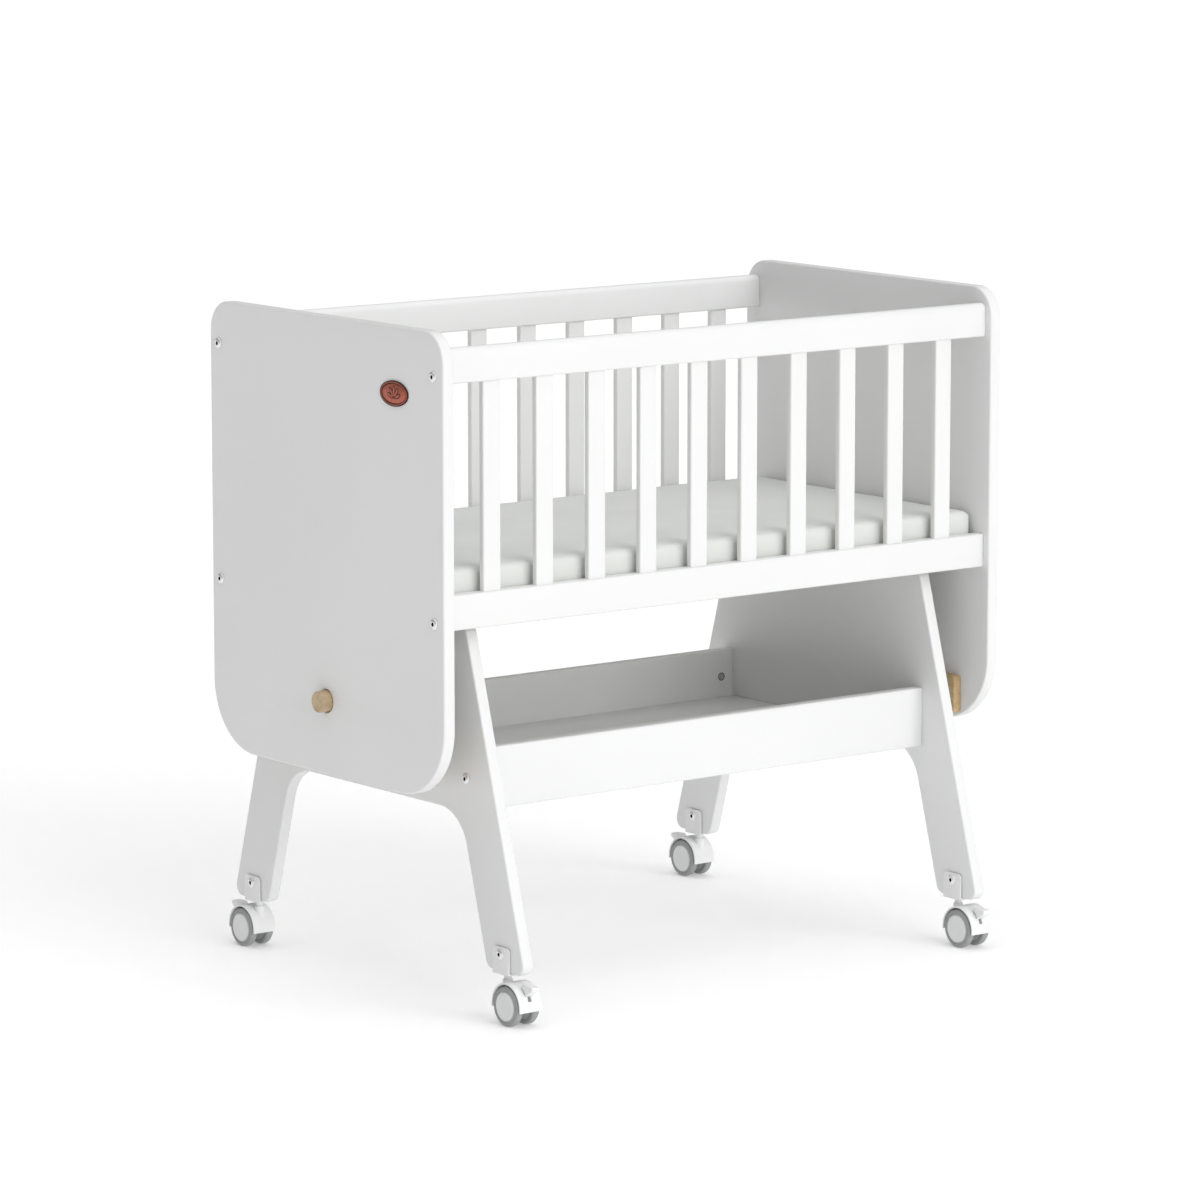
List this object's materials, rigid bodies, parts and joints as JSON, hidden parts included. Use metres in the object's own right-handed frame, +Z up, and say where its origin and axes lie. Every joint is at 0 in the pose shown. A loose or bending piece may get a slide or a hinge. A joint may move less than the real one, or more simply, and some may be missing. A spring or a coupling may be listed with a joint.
{
  "type": "bedside swing crib",
  "caption": "White slatted bedside crib with solid rounded end panels, hung on links from a low board stand with a shallow tray, on braked twin-wheel castors.",
  "frame": {"origin": "On the floor, midway along the length and midway between front and back.", "axes": "+X along the crib's length towards the right-hand end panel, +Y towards the back, +Z up; the badge is on the -X end panel."},
  "size_m": [0.921, 0.655, 0.855],
  "materials": {
    "white_lacquer": "satin white lacquer on wood board",
    "beech": "clear-coated beech",
    "plywood": "unfinished plywood",
    "mattress_cloth": "warm light grey woven cotton",
    "copper_badge": "antique copper, satin",
    "white_steel": "white powder coat",
    "white_plastic": "fine-grained white moulding",
    "grey_tyre": "soft light grey tread on a grey hub",
    "zinc": "bright zinc plate"
  },
  "bodies": {
    "stand": {"left_stand_frame": "white_lacquer", "right_stand_frame": "white_lacquer", "front_tray_board": "white_lacquer", "back_tray_board": "white_lacquer", "tray_floor": "white_lacquer", "stand_bolts": "zinc", "tray_barrel_nuts": "zinc", "upper_link_pivots": "zinc", "front_left_castor_bracket": "white_steel", "front_right_castor_bracket": "white_steel", "rear_left_castor_bracket": "white_steel", "rear_right_castor_bracket": "white_steel", "castor_bolts": "zinc"},
    "cradle": {"left_end_panel": "white_lacquer", "right_end_panel": "white_lacquer", "front_top_rail": "white_lacquer", "back_top_rail": "white_lacquer", "front_bottom_rail": "white_lacquer", "back_bottom_rail": "white_lacquer", "front_slats": "white_lacquer", "back_slats": "white_lacquer", "bed_base": "plywood", "front_base_cleat": "white_lacquer", "back_base_cleat": "white_lacquer", "mattress": "mattress_cloth", "badge": "copper_badge", "left_pivot_blocks": "beech", "right_pivot_blocks": "beech", "panel_bolts": "zinc", "rail_barrel_nuts": "zinc", "lower_link_pivots": "zinc", "left_lock_guide": "beech", "right_lock_guide": "beech"},
    "front_left_link_body": {"front_left_link": "zinc"},
    "front_right_link_body": {"front_right_link": "zinc"},
    "rear_left_link_body": {"rear_left_link": "zinc"},
    "rear_right_link_body": {"rear_right_link": "zinc"},
    "left_lock": {"left_lock_knob": "beech"},
    "right_lock": {"right_lock_knob": "beech"},
    "front_left_castor": {"front_left_castor_hood": "white_plastic", "front_left_castor_axle": "zinc"},
    "front_left_brake": {"front_left_brake_pedal": "white_plastic"},
    "front_left_left_wheel": {"front_left_castor_left_wheel": "grey_tyre"},
    "front_left_right_wheel": {"front_left_castor_right_wheel": "grey_tyre"},
    "front_right_castor": {"front_right_castor_hood": "white_plastic", "front_right_castor_axle": "zinc"},
    "front_right_brake": {"front_right_brake_pedal": "white_plastic"},
    "front_right_left_wheel": {"front_right_castor_left_wheel": "grey_tyre"},
    "front_right_right_wheel": {"front_right_castor_right_wheel": "grey_tyre"},
    "rear_left_castor": {"rear_left_castor_hood": "white_plastic", "rear_left_castor_axle": "zinc"},
    "rear_left_brake": {"rear_left_brake_pedal": "white_plastic"},
    "rear_left_left_wheel": {"rear_left_castor_left_wheel": "grey_tyre"},
    "rear_left_right_wheel": {"rear_left_castor_right_wheel": "grey_tyre"},
    "rear_right_castor": {"rear_right_castor_hood": "white_plastic", "rear_right_castor_axle": "zinc"},
    "rear_right_brake": {"rear_right_brake_pedal": "white_plastic"},
    "rear_right_left_wheel": {"rear_right_castor_left_wheel": "grey_tyre"},
    "rear_right_right_wheel": {"rear_right_castor_right_wheel": "grey_tyre"}
  },
  "joints": [
    {"name": "front_left_link_turn", "type": "hinge", "parent": "stand", "child": "front_left_link_body", "pos_m": [-0.3965, -0.165, 0.445], "axis": [1, 0, 0], "range_deg": [-10, 10]},
    {"name": "cradle_swing", "type": "hinge", "parent": "front_left_link_body", "child": "cradle", "pos_m": [-0.3965, -0.165, 0.315], "axis": [1, 0, 0], "range_deg": [-10, 10]},
    {"name": "front_right_link_turn", "type": "hinge", "parent": "stand", "child": "front_right_link_body", "pos_m": [0.3965, -0.165, 0.445], "axis": [1, 0, 0], "range_deg": [-10, 10]},
    {"name": "rear_left_link_turn", "type": "hinge", "parent": "stand", "child": "rear_left_link_body", "pos_m": [-0.3965, 0.165, 0.445], "axis": [1, 0, 0], "range_deg": [-10, 10]},
    {"name": "rear_right_link_turn", "type": "hinge", "parent": "stand", "child": "rear_right_link_body", "pos_m": [0.3965, 0.165, 0.445], "axis": [1, 0, 0], "range_deg": [-10, 10]},
    {"name": "left_lock_slide", "type": "slide", "parent": "cradle", "child": "left_lock", "axis": [1, 0, 0], "range_m": [0, 0.012]},
    {"name": "right_lock_slide", "type": "slide", "parent": "cradle", "child": "right_lock", "axis": [-1, 0, 0], "range_m": [0, 0.012]},
    {"name": "front_left_swivel", "type": "hinge", "parent": "stand", "child": "front_left_castor", "pos_m": [-0.36675, -0.271, 0.048], "axis": [0, 0, 1], "continuous": true},
    {"name": "front_left_left_wheel_roll", "type": "hinge", "parent": "front_left_castor", "child": "front_left_left_wheel", "pos_m": [-0.36675, -0.2885, 0.025], "axis": [1, 0, 0], "continuous": true},
    {"name": "front_left_right_wheel_roll", "type": "hinge", "parent": "front_left_castor", "child": "front_left_right_wheel", "pos_m": [-0.36675, -0.2885, 0.025], "axis": [1, 0, 0], "continuous": true},
    {"name": "front_left_brake_press", "type": "hinge", "parent": "front_left_castor", "child": "front_left_brake", "pos_m": [-0.36675, -0.3085, 0.041], "axis": [1, 0, 0], "range_deg": [0, 10]},
    {"name": "front_right_swivel", "type": "hinge", "parent": "stand", "child": "front_right_castor", "pos_m": [0.36675, -0.271, 0.048], "axis": [0, 0, 1], "continuous": true},
    {"name": "front_right_left_wheel_roll", "type": "hinge", "parent": "front_right_castor", "child": "front_right_left_wheel", "pos_m": [0.36675, -0.2885, 0.025], "axis": [1, 0, 0], "continuous": true},
    {"name": "front_right_right_wheel_roll", "type": "hinge", "parent": "front_right_castor", "child": "front_right_right_wheel", "pos_m": [0.36675, -0.2885, 0.025], "axis": [1, 0, 0], "continuous": true},
    {"name": "front_right_brake_press", "type": "hinge", "parent": "front_right_castor", "child": "front_right_brake", "pos_m": [0.36675, -0.3085, 0.041], "axis": [1, 0, 0], "range_deg": [0, 10]},
    {"name": "rear_left_swivel", "type": "hinge", "parent": "stand", "child": "rear_left_castor", "pos_m": [-0.36675, 0.271, 0.048], "axis": [0, 0, 1], "continuous": true},
    {"name": "rear_left_left_wheel_roll", "type": "hinge", "parent": "rear_left_castor", "child": "rear_left_left_wheel", "pos_m": [-0.36675, 0.2885, 0.025], "axis": [1, 0, 0], "continuous": true},
    {"name": "rear_left_right_wheel_roll", "type": "hinge", "parent": "rear_left_castor", "child": "rear_left_right_wheel", "pos_m": [-0.36675, 0.2885, 0.025], "axis": [1, 0, 0], "continuous": true},
    {"name": "rear_left_brake_press", "type": "hinge", "parent": "rear_left_castor", "child": "rear_left_brake", "pos_m": [-0.36675, 0.3085, 0.041], "axis": [-1, 0, 0], "range_deg": [0, 10]},
    {"name": "rear_right_swivel", "type": "hinge", "parent": "stand", "child": "rear_right_castor", "pos_m": [0.36675, 0.271, 0.048], "axis": [0, 0, 1], "continuous": true},
    {"name": "rear_right_left_wheel_roll", "type": "hinge", "parent": "rear_right_castor", "child": "rear_right_left_wheel", "pos_m": [0.36675, 0.2885, 0.025], "axis": [1, 0, 0], "continuous": true},
    {"name": "rear_right_right_wheel_roll", "type": "hinge", "parent": "rear_right_castor", "child": "rear_right_right_wheel", "pos_m": [0.36675, 0.2885, 0.025], "axis": [1, 0, 0], "continuous": true},
    {"name": "rear_right_brake_press", "type": "hinge", "parent": "rear_right_castor", "child": "rear_right_brake", "pos_m": [0.36675, 0.3085, 0.041], "axis": [-1, 0, 0], "range_deg": [0, 10]}
  ],
  "couplings": [
    {"joint": "front_left_link_turn", "follows": "cradle_swing", "ratio": -1},
    {"joint": "front_right_link_turn", "follows": "cradle_swing", "ratio": -1},
    {"joint": "rear_left_link_turn", "follows": "cradle_swing", "ratio": -1},
    {"joint": "rear_right_link_turn", "follows": "cradle_swing", "ratio": -1}
  ]
}
